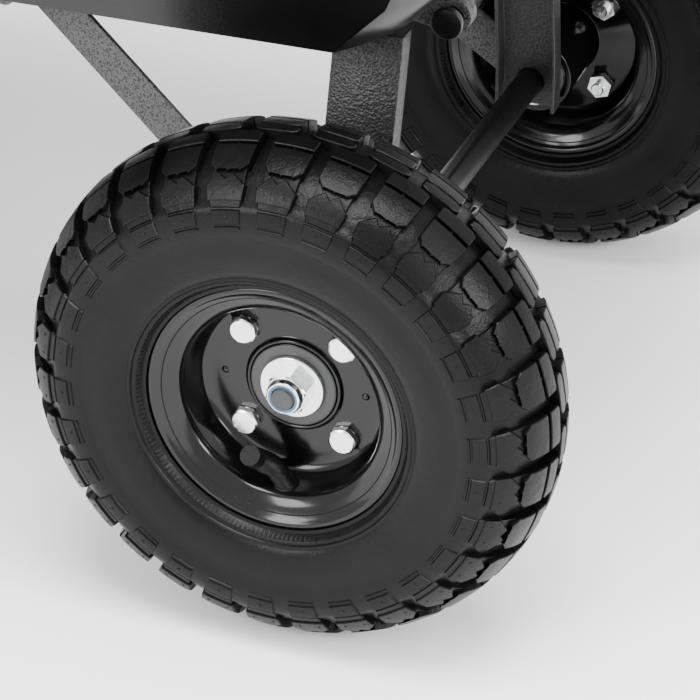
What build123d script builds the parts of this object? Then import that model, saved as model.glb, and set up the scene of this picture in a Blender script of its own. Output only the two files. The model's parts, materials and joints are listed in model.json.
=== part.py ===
from build123d import *
import math
import os

# A tow-behind garden dump cart: a polymer tub on a steel frame, four pneumatic wheels,
# a steered front carriage and a drawbar that is pulled by hand or by a tractor.
# Millimetres. +Z is up, -Y is the towing direction, +X is the cart's left side.
# The origin is on the floor, under the middle of the whole cart's box.

# ---------------------------------------------------------------- driving sizes
track = 430.0             # between the middle planes of a left and a right wheel
wheelbase = 590.0         # rear axle to front axle
running_gap = 0.05        # radial clearance of every shaft in its bore
pin_play = 0.2            # between a pin's heads and what it holds
touch_gap = 0.3           # gap between pieces that pass or seat without a fit

# tyre and rim, in a section: "x" is outboard from the wheel's middle plane
tyre_r = 132.5            # outside radius, tread included
tyre_half = 40.5          # half of the section width
tyre_widest_r = 94.0      # radius at the widest point of the sidewall
tyre_shoulder_x = 34.0    # where the tread meets the sidewall
tyre_shoulder_r = 118.2
tyre_bead_x = 34.2        # raised bead ring just outside the rim flange
tyre_bead_r = 68.2
tyre_bead_step = 3.6      # how far the bead ring stands out from the flange
tyre_toe_x = 20.0         # inner edge of the tyre's foot on the bead seat
tyre_toe_step = 3.0       # how much narrower the foot is at the height of the flange
casing = 6.0              # thickness of sidewall and tread band
rim_t = 2.0               # sheet of the pressed rim halves
seat_r = 51.0             # bead seat, outside radius of the rim well
flange_r = 64.2           # outside radius of the rim flange
flange_x = 30.0           # outer face of the rim flange
disc_x = 2.0              # outer face of the outer rim disc
hub_r = 22.0              # hub tube
hub_collar_r = 24.4       # pressed collar of the outer disc around the hub
hub_in = 62.0             # inboard reach of the hub from the middle plane
hub_out = 4.5             # outboard reach
hub_flange_r = 44.5
hub_flange_t = 3.0
tube_wall = 2.0           # inner tube
stem_r = 4.8              # rubber valve stem
stem_x = 14.5             # where the stem leaves the well, from the middle plane
stem_straight = 15.0      # stem length before its bend
stem_tip = 13.0           # length after the bend
stem_bend = 35.0          # degrees outboard
bearing_r = 17.5
bearing_w = 11.0
rim_bolt_pcd = 71.0
rim_bolt_count = 4
rim_bolt_d = 8.0
rim_bolt_af = 13.0
rim_bolt_head = 5.3
rim_nut_h = 6.5
rim_bolt_past = 3.0       # bolt end past its nut
bolt_clearance = 0.2      # radial clearance of bolts in sheet metal

# axles
axle_d = 16.0
thread_d = 12.0
axle_nut_af = 19.0
axle_nut_h = 11.0
axle_nut_collar = 3.1     # height of the round collar that holds the nylon ring
axle_nut_chamfer = 0.6
washer_r = 16.2
washer_t = 2.4
thread_end = 19.7         # tip of the thread, outboard from the wheel's middle plane
axle_end_play = 0.2       # between a wheel's hub and each washer

# frame
rail_w = 25.0             # square tube of rails and cross-members
rail_wall = 2.0
rail_mid_x = 105.0        # middle of each side rail from the centreline
rail_bottom_z = 272.5
rail_setback = 10.0       # front end of the rails behind the tub's lower front edge
rail_rear_y = 11.0        # rear end of the rails, behind the rear axle
mid_member_y = -184.5     # cross-member over the tops of the braces
rear_member_y = -26.5     # rear cross-member, which carries the dump hinge
outrigger_x = 152.0       # outer end of the stubs that carry the tub's sides
outrigger_r = 5.0
leg_w = 35.4              # channel of the axle legs, along the cart
leg_depth = 12.0
leg_t = 2.0
leg_web_x = 68.0          # outer face of the web, inboard of the wheel's middle plane
leg_drop = 14.0           # below the axle's centre
leg_straight = 14.0       # height above the axle up to which the web stands upright
leg_knee_z = 80.0         # height above the axle where the leg bends further in
leg_lean_low = 9.0        # degrees, from there to the knee
brace_w = 21.5
brace_t = 3.0
brace_rise = 38.7         # degrees, seen from the side
brace_eye_r = 14.0

# tub
tub_skirt = 18.0          # the tub's lower edge below the top of the rails
tub_height = 245.0
tub_half_bottom = 162.0
tub_side_flare = 16.0     # degrees
tub_rear_corner_y = -2.0  # rear end of the straight lower side edge
tub_rear_arc_r = 100.0    # in plan, the arc from each rear corner to the flat middle
tub_rear_arc = 40.0       # degrees that the arc turns
tub_front_ahead = 50.0    # the tub's lower front edge ahead of the front axle
tub_front_lean = 28.0     # degrees from upright
tub_crease_h = 29.0       # height of the crease of the rear wall
tub_rear_low_lean = 45.0  # degrees from upright, below the crease
tub_rear_top_lean = 25.0  # degrees from upright, above it
tub_corner_r = 70.0
tub_wall = 4.0
rim_lip_w = 20.0
rim_lip_h = 22.0
rim_lip_t = 4.0
tub_bolt_d = 6.0
tub_bolt_af = 10.0
tub_nut_h = 5.0
tub_bolt_past = 2.0       # bolt end past its nut
tub_bolt_head = 2.5       # height of the countersunk head
tub_bolt_head_r = 5.5

# dump hinge
hinge_behind = 17.0       # pin's centre behind the end of the rails
hinge_below = 4.5         # and below their underside
hinge_pin_d = 10.0
hinge_pin_half = 84.0
hinge_lug_x = 70.0        # middle of each frame lug
hinge_lug_t = 5.0
hinge_eye_r = 9.0
hinge_pin_head = 4.0
tub_plate_t = 4.0
tub_bolt_gap = 12.0       # between the two bolts of each angle

# latch
latch_ahead = 22.0        # pivot ahead of the tub's lower front edge
latch_below = 10.5        # and below the rails' underside
latch_t = 5.0
latch_lug_t = 4.0
latch_eye_r = 9.0
latch_tongue = 16.0       # how far the turntable plate reaches under the latch
latch_pin_d = 8.0
striker_d = 8.0
striker_half = 24.0
striker_h = 20.0          # above the tub's lower edge
striker_reach = 16.0      # bar's centre ahead of the tub's wall
latch_open = 32.0         # degrees from closed to released, as modelled

# front carriage and drawbar
turntable_t = 5.0
turntable_half_x = 60.0
turntable_half_y = 40.0
king_pin_d = 16.0
carriage_beam_h = 6.0
carriage_beam_half = 96.0
carriage_gap = 0.4
yoke_t = 5.0              # side plates that carry the drawbar's pin
yoke_gap = 3.0            # between them and the drawbar
yoke_eye = 14.0           # metal around the axle and the drawbar's pin
drawbar_w = 25.0
drawbar_wall = 2.0
drawbar_len = 560.0
drawbar_drop = 8.0        # degrees below level at rest
drawbar_pivot_ahead = 78.0
drawbar_pivot_above = 22.0
drawbar_tail = 14.0       # tube behind the pin
drawbar_pin_d = 12.0
drawbar_stop_r = 4.0
drawbar_stop_ahead = 22.0
pin_head = 4.0            # height of the heads of the drawbar's pin
clevis_t = 5.0
hitch_pin_ahead = 42.0    # the pin's centre ahead of the end of the tube
hitch_pin_edge = 14.0     # from there to the end of the tongues
bail_rest = 16.0          # width of the ears that the loop's legs lie on
clevis_lap = 45.0         # and along the tube
hitch_pin_d = 12.7
hitch_pin_past = 14.0     # shank below the lower tongue
hitch_pin_head = 7.0
bail_rod_d = 10.0
bail_eye_t = 8.0          # the bar's ends are flattened into eyes
bail_len = 190.0          # from its pivot to the grip's axis
bail_shoulder = 150.0     # to where the loop has its full width
bail_neck = 90.0          # to where its legs start to spread
bail_half = 58.0
bail_bend_r = 10.0
bail_pin_back = 70.0      # bail pivot behind the tube's front end
bail_pin_d = 8.0
bail_pin_head = 3.0
grip_d = 26.0
grip_end = 16.0           # bare bar at each end of the grip

# ---------------------------------------------------------------- derived places
half_track = track / 2
axle_z = tyre_r
axle_r = axle_d / 2
front_y = -wheelbase
rail_top_z = rail_bottom_z + rail_w
tub_bottom_z = rail_top_z - tub_skirt
tub_top_z = tub_bottom_z + tub_height
tub_front_y = front_y - tub_front_ahead
tub_rear_bulge = tub_rear_arc_r * (1 - math.cos(math.radians(tub_rear_arc)))
rear_mid_y = tub_rear_corner_y + tub_rear_bulge
rear_crease_y = rear_mid_y + tub_crease_h * math.tan(math.radians(tub_rear_low_lean))
rear_top_y = rear_crease_y + (tub_height - tub_crease_h) * math.tan(math.radians(tub_rear_top_lean))
floor_under = rail_top_z + touch_gap - tub_bottom_z
floor_top = floor_under + tub_wall
floor_z = tub_bottom_z + floor_under
rail_front_y = tub_front_y + rail_setback
hinge_y = rail_rear_y + hinge_behind
hinge_z = rail_bottom_z - hinge_below
latch_pivot_y = tub_front_y - latch_ahead
latch_pivot_z = rail_bottom_z - latch_below
pivot_y = front_y - drawbar_pivot_ahead
pivot_z = axle_z + drawbar_pivot_above
drop = math.radians(drawbar_drop)
bail_y = bail_pin_back - drawbar_len
bail_z = bail_rod_d / 2 + touch_gap - drawbar_w / 2
bail_leg_x = drawbar_w / 2 + 0.5 + bail_rod_d / 2
hitch_y = -drawbar_len - hitch_pin_ahead
cart_front_y = pivot_y + (bail_y - bail_len) * math.cos(drop) - bail_z * math.sin(drop) - grip_d / 2
cart_rear_y = max(rear_top_y + rim_lip_w, tyre_r)
origin_y = (cart_front_y + cart_rear_y) / 2


standing = (Align.CENTER, Align.CENTER, Align.MIN)
hanging = (Align.CENTER, Align.CENTER, Align.MAX)


def ring(outer, inner, low, high):
    """A flat ring around the X axis, from x = low to x = high."""
    face = Circle(outer)
    if inner > 0:
        face = face - Circle(inner)
    return Plane.YZ.offset(low) * extrude(face, high - low)


def hexagon(across, height, x):
    return Plane.YZ.offset(x) * extrude(RegularPolygon(across / 2, 6, major_radius=False), height)


def around(piece, count, first):
    """Copies of a piece spread around the X axis."""
    return [Rot(first + 360 * i / count, 0, 0) * piece for i in range(count)]


def bolt_circle(piece):
    """The piece at each rim bolt's place."""
    return around(Pos(0, rim_bolt_pcd / 2, 0) * piece, rim_bolt_count, 45)


def spin(profile):
    """A section drawn as (x, r) in the XZ plane, turned about the X axis."""
    return revolve(Plane.XZ * profile, Axis.X)


# ---------------------------------------------------------------- one wheel, outboard = +X
def both_ends(points):
    """Points of a section and their mirror images, in order around the section."""
    return points, [(-x, r) for x, r in reversed(points)]


def tyre():
    """An open casing on the rim: foot, sidewall and tread band, with a raised ring above the bead."""
    heel_x = flange_x - rim_t - touch_gap
    toe = (tyre_toe_x, seat_r + touch_gap)
    toe_top = (tyre_toe_x + tyre_toe_step, flange_r + casing / 2)
    widest_in = (tyre_half - casing, tyre_widest_r)
    widest = (tyre_half, tyre_widest_r)
    shoulder_in = (tyre_shoulder_x - casing, tyre_shoulder_r - casing / 2)
    shoulder = (tyre_shoulder_x, tyre_shoulder_r)
    foot = [toe_top, toe, (heel_x, toe[1]), (heel_x, flange_r),
            (tyre_bead_x - tyre_bead_step, flange_r + 2 * touch_gap), (tyre_bead_x, tyre_bead_r)]
    with BuildSketch() as section:
        with BuildLine():
            right, left = both_ends(foot)
            Polyline(*right)
            ThreePointArc(foot[-1], widest, shoulder)
            ThreePointArc(shoulder, (0, tyre_r), (-shoulder[0], shoulder[1]))
            ThreePointArc((-shoulder[0], shoulder[1]), (-widest[0], widest[1]), left[0])
            Polyline(*left)
            ThreePointArc(left[-1], (-widest_in[0], widest_in[1]), (-shoulder_in[0], shoulder_in[1]))
            ThreePointArc((-shoulder_in[0], shoulder_in[1]), (0, tyre_r - casing), shoulder_in)
            ThreePointArc(shoulder_in, widest_in, toe_top)
        make_face()
    return spin(section.sketch)


def tube_section(inset):
    """The filled tyre's inside, drawn in by inset."""
    inset += touch_gap
    low = (tyre_toe_x - touch_gap - inset, seat_r + touch_gap + inset)
    bulge = (low[0] + 0.6 * tyre_toe_step, flange_r + casing / 2)
    side = (tyre_half - casing - touch_gap - inset, tyre_widest_r)
    corner_inset = touch_gap + 0.8 * inset
    top = (tyre_shoulder_x - casing - corner_inset, tyre_shoulder_r - casing / 2 - corner_inset)
    crown = (0, tyre_r - casing - touch_gap - inset)
    with BuildSketch() as section:
        with BuildLine():
            right, left = both_ends([low, bulge])
            Line(left[1], right[0])
            Line(*right)
            ThreePointArc(bulge, side, top)
            ThreePointArc(top, crown, (-top[0], top[1]))
            ThreePointArc((-top[0], top[1]), (-side[0], side[1]), left[0])
            Line(*left)
        make_face()
    return section.sketch


def inner_tube():
    """The air tube with its valve stem moulded on; the stem points at the axle at the bottom."""
    tube = spin(tube_section(0)) - spin(tube_section(tube_wall))
    root_z = -seat_r - tube_wall / 2
    stem = Pos(stem_x, 0, root_z) * Cylinder(stem_r, stem_straight - root_z - seat_r, align=standing)
    tip = Pos(stem_x, 0, stem_straight - seat_r) * Rot(0, stem_bend, 0) * Cylinder(
        stem_r - 0.4, stem_tip, align=standing)
    return tube + stem + tip


def rim_half(face_x, collar):
    """A pressed half: disc with its outer face at face_x, barrel, flange."""
    disc_back = face_x - rim_t
    bore = hub_r + 0.1
    half = ring(seat_r, bore, disc_back, face_x)
    half += ring(seat_r, seat_r - rim_t, disc_back, flange_x)
    half += ring(flange_r, seat_r - rim_t, flange_x - rim_t, flange_x)
    for hole in bolt_circle(ring(rim_bolt_d / 2 + bolt_clearance, 0, disc_back - 1, face_x + 1)):
        half -= hole
    if collar:
        half += ring(hub_collar_r, bore, face_x, hub_out - touch_gap)
        half -= Pos(stem_x, 0, -seat_r - 1) * Cylinder(stem_r + touch_gap, rim_t + 2, align=standing)
    return half


def outer_rim():
    return rim_half(disc_x, True)


def inner_rim():
    """The other half, back to back with the outer one."""
    return mirror(rim_half(2 * rim_t - disc_x, False), Plane.YZ)


rim_nut_seat = disc_x - 2 * rim_t - hub_flange_t


def hub():
    """A tube with a seat for a bearing at each end and a flange behind the rim's discs."""
    body = ring(hub_r, bearing_r - 3, -hub_in, hub_out)
    body += ring(hub_flange_r, hub_r - 2, rim_nut_seat, rim_nut_seat + hub_flange_t)
    body -= ring(bearing_r + running_gap, 0, hub_out - bearing_w, hub_out + 1)
    body -= ring(bearing_r + running_gap, 0, -hub_in - 1, bearing_w - hub_in)
    for hole in bolt_circle(ring(rim_bolt_d / 2 + bolt_clearance, 0, rim_nut_seat - 1, disc_x)):
        body -= hole
    return body


def bearings():
    bore = axle_r + running_gap
    outer = ring(bearing_r, bore, hub_out - bearing_w, hub_out)
    inner = ring(bearing_r, bore, -hub_in, bearing_w - hub_in)
    return [outer, inner]


def rim_bolts():
    tip = rim_nut_seat - rim_nut_h - rim_bolt_past
    bolt = ring(rim_bolt_d / 2, 0, tip, disc_x) + hexagon(rim_bolt_af, rim_bolt_head, disc_x)
    return bolt_circle(bolt)


def rim_nuts():
    low = rim_nut_seat - rim_nut_h
    nut = hexagon(rim_bolt_af, rim_nut_h, low) - ring(rim_bolt_d / 2 + running_gap, 0, low - 1, disc_x)
    return bolt_circle(nut)


# ---------------------------------------------------------------- axle groups, on the axle's line
def axle():
    shoulder = half_track + hub_out + axle_end_play
    bar = ring(axle_r, 0, -shoulder, shoulder)
    for side in (1, -1):
        low, high = sorted((side * shoulder, side * (half_track + thread_end)))
        bar += ring(thread_d / 2, 0, low, high)
    return bar


def both_sides(piece):
    return [piece, mirror(piece, Plane.YZ)]


def axle_washers(seat_x):
    """The outer washer under each nut, and the spacer between each hub and its seat at seat_x."""
    outer_x = half_track + hub_out + axle_end_play
    inner_x = half_track - hub_in - axle_end_play
    outer = ring(washer_r, thread_d / 2 + running_gap, outer_x, outer_x + washer_t)
    inner = ring(washer_r, axle_r + running_gap, seat_x, inner_x)
    return both_sides(outer) + both_sides(inner)


def axle_nuts():
    """Lock nuts: a hexagon, and above it the collar that holds the nylon ring."""
    low = half_track + hub_out + axle_end_play + washer_t
    nut = hexagon(axle_nut_af, axle_nut_h - axle_nut_collar, low)
    nut += ring(axle_nut_af / 2 - axle_nut_chamfer, 0, low, low + axle_nut_h)
    nut -= ring(thread_d / 2 + running_gap, 0, low - 1, low + axle_nut_h + 1)
    return both_sides(nut)


def channel_leg(points, width, depth, t):
    """A channel that follows (x, z) points of its outer web face; flanges point inboard."""
    inner = [(x - depth, z) for x, z in reversed(points)]
    solid = extrude(Plane.XZ.offset(width / 2) * make_face(Polyline(*points, *inner, close=True)), -width)
    web_back = [(x - t, z) for x, z in points]
    past = [(x - 1, z) for x, z in inner]
    room = make_face(Polyline(*web_back, *past, close=True))
    return solid - extrude(Plane.XZ.offset(width / 2 - t) * room, 2 * t - width)


# ---------------------------------------------------------------- rear frame
web_x = half_track - leg_web_x
knee_x = web_x - (leg_knee_z - leg_straight) * math.tan(math.radians(leg_lean_low))
rail_out_x = rail_mid_x + rail_w / 2
leg_top_x = rail_out_x + leg_t


def rear_legs():
    points = [(web_x, axle_z - leg_drop), (web_x, axle_z + leg_straight),
              (knee_x, axle_z + leg_knee_z), (leg_top_x, rail_bottom_z)]
    leg = channel_leg(points, leg_w, leg_depth, leg_t)
    leg -= Pos(web_x, 0, axle_z) * ring(axle_r + running_gap, 0, -leg_depth, leg_depth)
    return both_sides(leg)


def rear_braces():
    """Flat bars from an eye on the axle up to the underside of the rails."""
    eye_in = web_x + touch_gap
    rise = rail_bottom_z - axle_z
    run = rise / math.tan(math.radians(brace_rise))
    top_x = rail_out_x - brace_t
    slope = (eye_in - top_x) / run
    half_w = brace_w / 2 / math.cos(math.radians(brace_rise))
    half_run = brace_w / 2 / math.sin(math.radians(brace_rise))
    start = leg_w / 2 + 1
    end_in = eye_in - slope * (run + half_run - start)
    side = Plane.YZ * extrude(make_face(Polyline(
        (0, axle_z - half_w), (0, axle_z + half_w), (-run + half_run, rail_bottom_z),
        (-run - half_run, rail_bottom_z), close=True)), track)
    plan = extrude(make_face(Polyline(
        (eye_in, 0), (eye_in + brace_t, 0), (eye_in + brace_t, -start), (end_in + brace_t, -run - half_run),
        (end_in, -run - half_run), (eye_in, -start), close=True)), 2 * rail_bottom_z)
    eye = Pos(0, 0, axle_z) * ring(brace_eye_r, 0, eye_in, eye_in + brace_t)
    bar = (side & plan) + eye
    bar -= Pos(0, 0, axle_z) * ring(axle_r + running_gap, 0, eye_in - 1, eye_in + brace_t + 1)
    return both_sides(bar)


def square_tube(length, width, wall):
    tube = Box(width, length, width)
    return tube - Box(width - 2 * wall, length + 1, width - 2 * wall)


def side_rails():
    length = rail_rear_y - rail_front_y
    rail = Pos(rail_mid_x, (rail_rear_y + rail_front_y) / 2, rail_bottom_z + rail_w / 2) * square_tube(
        length, rail_w, rail_wall)
    return both_sides(rail)


member_ys = (rear_member_y, mid_member_y, front_y + turntable_half_y - rail_w / 2, rail_front_y + rail_w / 2)


def cross_members():
    """Square tubes between the rails, and the two stubs outside them."""
    between = 2 * (rail_mid_x - rail_w / 2)
    members = []
    for y in member_ys:
        tube = Rot(0, 0, 90) * square_tube(between, rail_w, rail_wall)
        members.append(Pos(0, y, rail_bottom_z + rail_w / 2) * tube)
    stub = Plane.YZ.offset(rail_out_x) * extrude(
        RectangleRounded(rail_w, rail_w, outrigger_r), outrigger_x - rail_out_x)
    stub = Pos(0, mid_member_y, rail_bottom_z + rail_w / 2) * stub
    for lug in hinge_lugs():
        members[0] += lug
    return members + both_sides(stub)


def hinge_eye(x, thickness, side):
    """A plate from x on, with an eye around the dump hinge's pin."""
    plate = Plane.YZ.offset(x) * extrude(side, thickness)
    plate += Pos(0, hinge_y, hinge_z) * ring(hinge_eye_r, 0, x, x + thickness)
    return plate - Pos(0, hinge_y, hinge_z) * ring(hinge_pin_d / 2 + running_gap, 0, x - 1, x + thickness + 1)


def hinge_lugs():
    """Lugs on the rear cross-member that hold the dump hinge's pin."""
    low = hinge_z - hinge_eye_r
    foot_y = rear_member_y + rail_w / 2
    top = hinge_z + hinge_eye_r
    side = make_face(Polyline((foot_y, rail_top_z - rail_w / 3), (foot_y, low + rail_w / 4), (hinge_y, low),
                              (hinge_y, top), (foot_y + rail_w / 2, top), close=True))
    return both_sides(hinge_eye(hinge_lug_x - hinge_lug_t / 2, hinge_lug_t, side))


def hinge_pin():
    return Pos(0, hinge_y, hinge_z) * headed_pin(hinge_pin_d, hinge_pin_half, 3, hinge_pin_head)


# ---------------------------------------------------------------- tub
def tub_outline(height, inset):
    """The tub's outside at a height above its bottom edge, drawn in by inset."""
    half = tub_half_bottom + height * math.tan(math.radians(tub_side_flare)) - inset
    front = tub_front_y - height * math.tan(math.radians(tub_front_lean)) + inset
    low = min(height, tub_crease_h)
    high = max(height - tub_crease_h, 0)
    back = (rear_mid_y + low * math.tan(math.radians(tub_rear_low_lean))
            + high * math.tan(math.radians(tub_rear_top_lean)) - inset)
    rear_r = tub_rear_arc_r - inset
    turn = math.radians(tub_rear_arc)
    corner_y = back - rear_r * (1 - math.cos(turn))
    flat = half - rear_r * math.sin(turn)
    mid_x = flat + rear_r * math.sin(turn / 2)
    mid_y = back - rear_r * (1 - math.cos(turn / 2))
    r = tub_corner_r - inset
    with BuildSketch() as outline:
        with BuildLine():
            Line((half, front + r), (half, corner_y))
            ThreePointArc((half, corner_y), (mid_x, mid_y), (flat, back))
            Line((flat, back), (-flat, back))
            ThreePointArc((-flat, back), (-mid_x, mid_y), (-half, corner_y))
            Line((-half, corner_y), (-half, front + r))
            RadiusArc((-half, front + r), (-half + r, front), -r)
            Line((-half + r, front), (half - r, front))
            RadiusArc((half - r, front), (half, front + r), -r)
        make_face()
    return outline.sketch


def tub_block(heights, inset):
    """Ruled layers through the outlines at the given heights."""
    block = None
    for low, high in zip(heights, heights[1:]):
        layer = loft([Pos(0, 0, tub_bottom_z + low) * tub_outline(low, inset),
                      Pos(0, 0, tub_bottom_z + high) * tub_outline(high, inset)], ruled=True)
        block = layer if block is None else block + layer
    return block


def tub():
    body = tub_block([0, tub_crease_h, tub_height], 0)
    lip = extrude(Pos(0, 0, tub_top_z - rim_lip_h) * tub_outline(tub_height, -rim_lip_w), rim_lip_h)
    lip -= extrude(Pos(0, 0, tub_top_z - rim_lip_h - 1) * tub_outline(tub_height, rim_lip_t - rim_lip_w),
                   rim_lip_h + 1 - rim_lip_t)
    lip -= extrude(Pos(0, 0, tub_top_z - rim_lip_h - 2) * tub_outline(tub_height, tub_wall), rim_lip_h + 4)
    body -= tub_block([floor_top, tub_crease_h, tub_height, tub_height + 1], tub_wall)
    recess = extrude(Pos(0, 0, tub_bottom_z - 1) * tub_outline(0, tub_wall), floor_under + 1)
    for x, y in tub_bolt_places:
        body -= Pos(x, y, floor_z) * Cylinder(tub_bolt_d / 2 + running_gap, 3 * tub_wall)
        body -= Pos(x, y, floor_z + tub_wall) * tub_bolt_head_cone(running_gap)
    return body - recess + lip


plate_x = hinge_lug_x + hinge_lug_t / 2 + touch_gap
flange_ys = (rear_member_y + rail_w / 2 + 2, rail_rear_y - 1)
flange_end_x = rail_mid_x - rail_w / 2 - 5 * touch_gap
bolt_x = (plate_x + tub_plate_t + flange_end_x) / 2
bolt_ys = (sum(flange_ys) / 2 - tub_bolt_gap / 2, sum(flange_ys) / 2 + tub_bolt_gap / 2)
tub_bolt_places = [(x, y) for x in (bolt_x, -bolt_x) for y in bolt_ys]


def tub_hinge_plates():
    """Angles bolted under the tub floor; each reaches down to the hinge pin beside a lug."""
    low = hinge_z - hinge_eye_r
    side = make_face(Polyline((flange_ys[0], floor_z), (flange_ys[0], low + rail_w / 4), (hinge_y, low),
                              (hinge_y, hinge_z + hinge_eye_r), (flange_ys[1], hinge_z + hinge_eye_r),
                              (flange_ys[1], floor_z), close=True))
    plate = hinge_eye(plate_x, tub_plate_t, side)
    plate += Pos(plate_x, (flange_ys[0] + flange_ys[1]) / 2, floor_z) * Box(
        flange_end_x - plate_x, flange_ys[1] - flange_ys[0], tub_plate_t,
        align=(Align.MIN, Align.CENTER, Align.MAX))
    for x, y in tub_bolt_places[:2]:
        plate -= Pos(x, y, floor_z) * Cylinder(tub_bolt_d / 2 + running_gap, 4 * tub_plate_t)
    return both_sides(plate)


def tub_bolt_head_cone(gap):
    """A countersunk head with its flat top at the origin, grown by gap."""
    return Cone(tub_bolt_d / 2 + gap, tub_bolt_head_r + gap, tub_bolt_head, align=hanging)


def tub_bolts():
    """Countersunk bolts flush with the floor, with nuts under the hinge angles."""
    nut_z = floor_z - tub_plate_t - tub_nut_h
    low = nut_z - tub_bolt_past
    head_z = floor_z + tub_wall
    bolt = Pos(0, 0, low) * Cylinder(tub_bolt_d / 2, head_z - low, align=standing)
    bolt += Pos(0, 0, head_z) * tub_bolt_head_cone(0)
    bolt += Pos(0, 0, nut_z) * extrude(RegularPolygon(tub_bolt_af / 2, 6, major_radius=False), tub_nut_h)
    return [Pos(x, y, 0) * bolt for x, y in tub_bolt_places]


# ---------------------------------------------------------------- latch
def latch_bracket():
    """Two lugs under the front of the frame that hold the latch's pin."""
    foot_y = rail_front_y + latch_tongue / 2
    foot_z = rail_bottom_z - turntable_t
    r = latch_eye_r
    side = make_face(Polyline(
        (foot_y, foot_z), (foot_y, latch_pivot_z - r + 1), (latch_pivot_y, latch_pivot_z - r),
        (latch_pivot_y - r, latch_pivot_z), (latch_pivot_y + 0.7 * r, latch_pivot_z + r),
        (rail_front_y - latch_tongue, foot_z), close=True))
    lug = Plane.YZ.offset(latch_t / 2 + touch_gap) * extrude(side, latch_lug_t)
    lug -= Pos(0, latch_pivot_y, latch_pivot_z) * ring(latch_pin_d / 2 + running_gap, 0, 0, 3 * latch_lug_t)
    return both_sides(lug)


def headed_pin(d, half, over, head):
    """A pin along the X axis with a round head at each end, wider than the shank by over all round."""
    pin = ring(d / 2, 0, -half, half)
    for end in both_sides(ring(d / 2 + over, 0, half, half + head)):
        pin += end
    return pin


def latch_pin():
    half = latch_t / 2 + touch_gap + latch_lug_t + pin_play
    return Pos(0, latch_pivot_y, latch_pivot_z) * headed_pin(latch_pin_d, half, 2, 3)


striker_y = tub_front_y - striker_h * math.tan(math.radians(tub_front_lean)) - striker_reach
striker_z = tub_bottom_z + striker_h


def latch_lever():
    """The hook, drawn closed about its pin and then swung open."""
    y = striker_y - latch_pivot_y
    z = striker_z - latch_pivot_z
    r = striker_d / 2
    over = z + r + 1
    side = make_face(Polyline((-latch_eye_r, 0), (y - 14, z - 6), (y - 30, over + 5), (y - 30, over + 8),
                              (y + 9, over + 8), (y + 9, over), (y - r - 1, over),
                              (y - r - 1, z - r), (6, 6), (6, -6), (-6, -6), close=True))
    hook = Plane.YZ.offset(-latch_t / 2) * extrude(side, latch_t)
    hook += ring(latch_eye_r, 0, -latch_t / 2, latch_t / 2)
    hook -= ring(latch_pin_d / 2 + running_gap, 0, -latch_t, latch_t)
    return Pos(0, latch_pivot_y, latch_pivot_z) * Rot(latch_open, 0, 0) * hook


def latch_striker():
    """A bar across the tub's front wall on two posts."""
    bar = Pos(0, striker_y, striker_z) * ring(striker_d / 2, 0, -striker_half, striker_half)
    for side in (1, -1):
        x = side * (striker_half - striker_d / 2)
        post = Cylinder(striker_d / 2, 2 * striker_reach, align=standing)
        bar += Pos(x, striker_y, striker_z) * Rot(-90, 0, 0) * post
        bar += Pos(x, striker_y + striker_reach, striker_z) * Box(2 * striker_d, striker_d, 3 * striker_d)
    return bar - tub_block([0, tub_crease_h, tub_height], 0)


# ---------------------------------------------------------------- front carriage
beam_top_z = rail_bottom_z - turntable_t - carriage_gap
beam_bottom_z = beam_top_z - carriage_beam_h
steer_x = drawbar_w / 2 + yoke_gap


def turntable_plate():
    plate = Pos(0, front_y, rail_bottom_z) * Box(2 * turntable_half_x, 2 * turntable_half_y, turntable_t,
                                                 align=hanging)
    plate += Pos(0, rail_front_y, rail_bottom_z) * Box(2.5 * latch_tongue, latch_tongue, turntable_t,
                                                      align=(Align.CENTER, Align.MAX, Align.MAX))
    for lug in latch_bracket():
        plate += lug
    return plate - Pos(0, front_y, rail_bottom_z) * Cylinder(king_pin_d / 2 + running_gap, 20)


def king_pin():
    low = beam_bottom_z - touch_gap
    pin = Pos(0, front_y, low) * Cylinder(king_pin_d / 2, rail_bottom_z - low, align=standing)
    pin += Pos(0, front_y, rail_bottom_z) * Cylinder(king_pin_d / 2 + 5, 7, align=standing)
    return pin + Pos(0, front_y, low) * Cylinder(king_pin_d / 2 + 4, 5, align=hanging)


def front_beam():
    beam = Pos(0, front_y, beam_top_z) * Box(2 * carriage_beam_half, leg_w + 6, carriage_beam_h, align=hanging)
    return beam - Pos(0, front_y, beam_top_z) * Cylinder(king_pin_d / 2 + running_gap, 30)


def front_legs():
    points = [(web_x, axle_z - leg_drop), (web_x, axle_z + leg_straight), (carriage_beam_half, beam_bottom_z)]
    leg = channel_leg(points, leg_w, leg_depth, leg_t)
    leg -= Pos(web_x, 0, axle_z) * ring(axle_r + running_gap, 0, -leg_depth, leg_depth)
    return [Pos(0, front_y, 0) * each for each in both_sides(leg)]


def steering_yoke():
    """Side plates that tie beam, axle and drawbar pin together, with the bar that stops the drawbar."""
    stop_y = pivot_y - drawbar_stop_ahead - 3 * drawbar_stop_r
    stop_z = pivot_z - drawbar_w / 2 - drawbar_stop_r
    back_y = front_y + leg_w / 2 - leg_t
    side = make_face(Polyline(
        (back_y, axle_z - yoke_eye), (back_y, beam_bottom_z), (front_y - leg_w / 2, beam_bottom_z),
        (pivot_y, pivot_z + yoke_eye), (stop_y, stop_z + 2 * drawbar_stop_r),
        (stop_y, stop_z - 3 * drawbar_stop_r), (front_y - yoke_eye, axle_z - yoke_eye), close=True))
    plate = Plane.YZ.offset(steer_x) * extrude(side, yoke_t)
    plate -= Pos(0, front_y, axle_z) * ring(axle_r + running_gap, 0, 0, steer_x + 2 * yoke_t)
    plate -= Pos(0, pivot_y, pivot_z) * ring(drawbar_pin_d / 2 + running_gap, 0, 0, steer_x + 2 * yoke_t)
    left, right = both_sides(plate)
    return left + right + drawbar_stop()


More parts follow.
